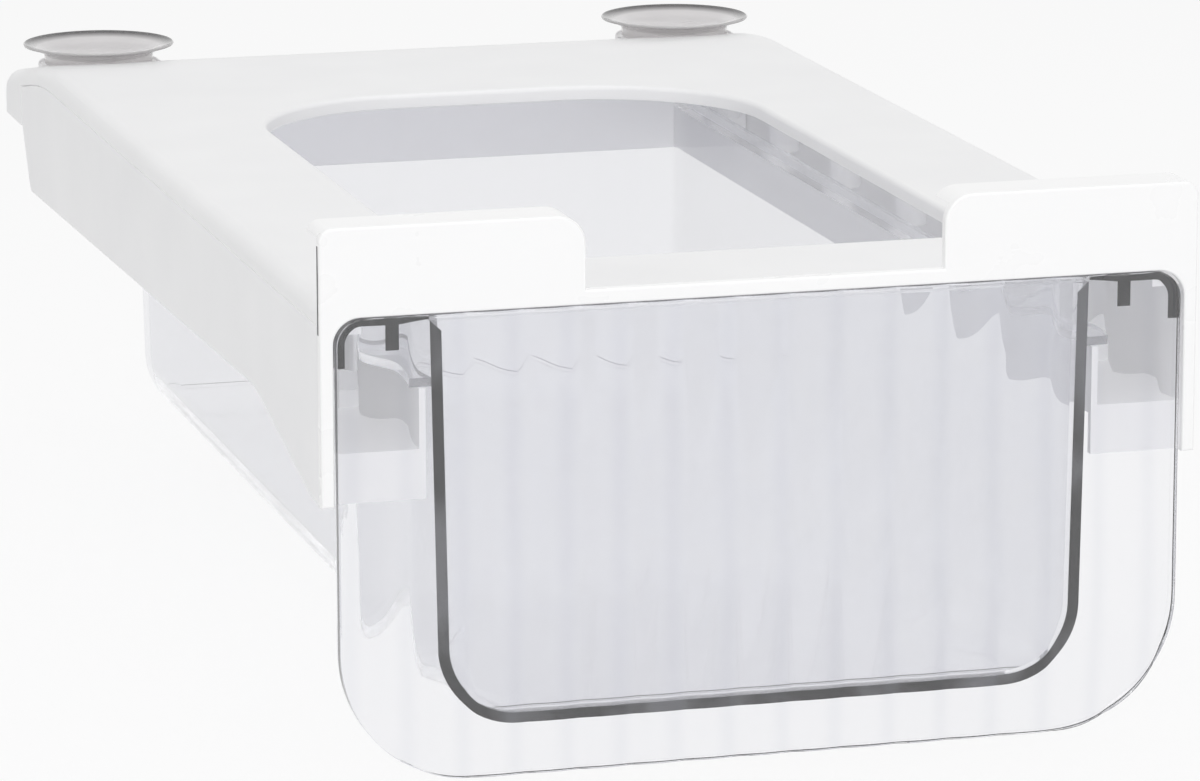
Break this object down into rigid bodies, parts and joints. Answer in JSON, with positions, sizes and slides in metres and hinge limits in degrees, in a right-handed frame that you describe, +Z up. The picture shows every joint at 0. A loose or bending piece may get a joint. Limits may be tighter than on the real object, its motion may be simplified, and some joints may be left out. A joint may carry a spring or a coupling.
{
  "type": "hanging fridge drawer organizer",
  "caption": "Drawer unit that hangs under a fridge shelf: a white frame with a front hook and rear suction cups, and a clear sliding bin with a fluted front.",
  "frame": {"origin": "On the centre line of the fascia's front face, level with the plate's top, which is where the underside of the shelf lies", "axes": "+X to the right as seen from the front, +Y from the front to the back along the drawer's travel, +Z up"},
  "size_m": [0.2, 0.3775, 0.124],
  "materials": {
    "top_frame": "satin white injection-moulded plastic",
    "front_fascia": "satin white injection-moulded plastic",
    "rail_left": "satin white injection-moulded plastic",
    "rail_right": "satin white injection-moulded plastic",
    "suction_cup_left": "translucent soft plastic, glossy",
    "suction_cup_right": "translucent soft plastic, glossy",
    "drawer_bin": "clear, slightly cool injection-moulded plastic",
    "drawer_front": "clear, slightly cool injection-moulded plastic with upright flutes"
  },
  "bodies": {
    "holder": {"top_frame": "top_frame", "front_fascia": "front_fascia", "rail_left": "rail_left", "rail_right": "rail_right", "suction_cup_left": "suction_cup_left", "suction_cup_right": "suction_cup_right"},
    "drawer": {"drawer_bin": "drawer_bin", "drawer_front": "drawer_front"}
  },
  "joints": [
    {"name": "drawer_slide", "type": "slide", "parent": "holder", "child": "drawer", "axis": [0, -1, 0], "range_m": [0, 0.211]}
  ]
}
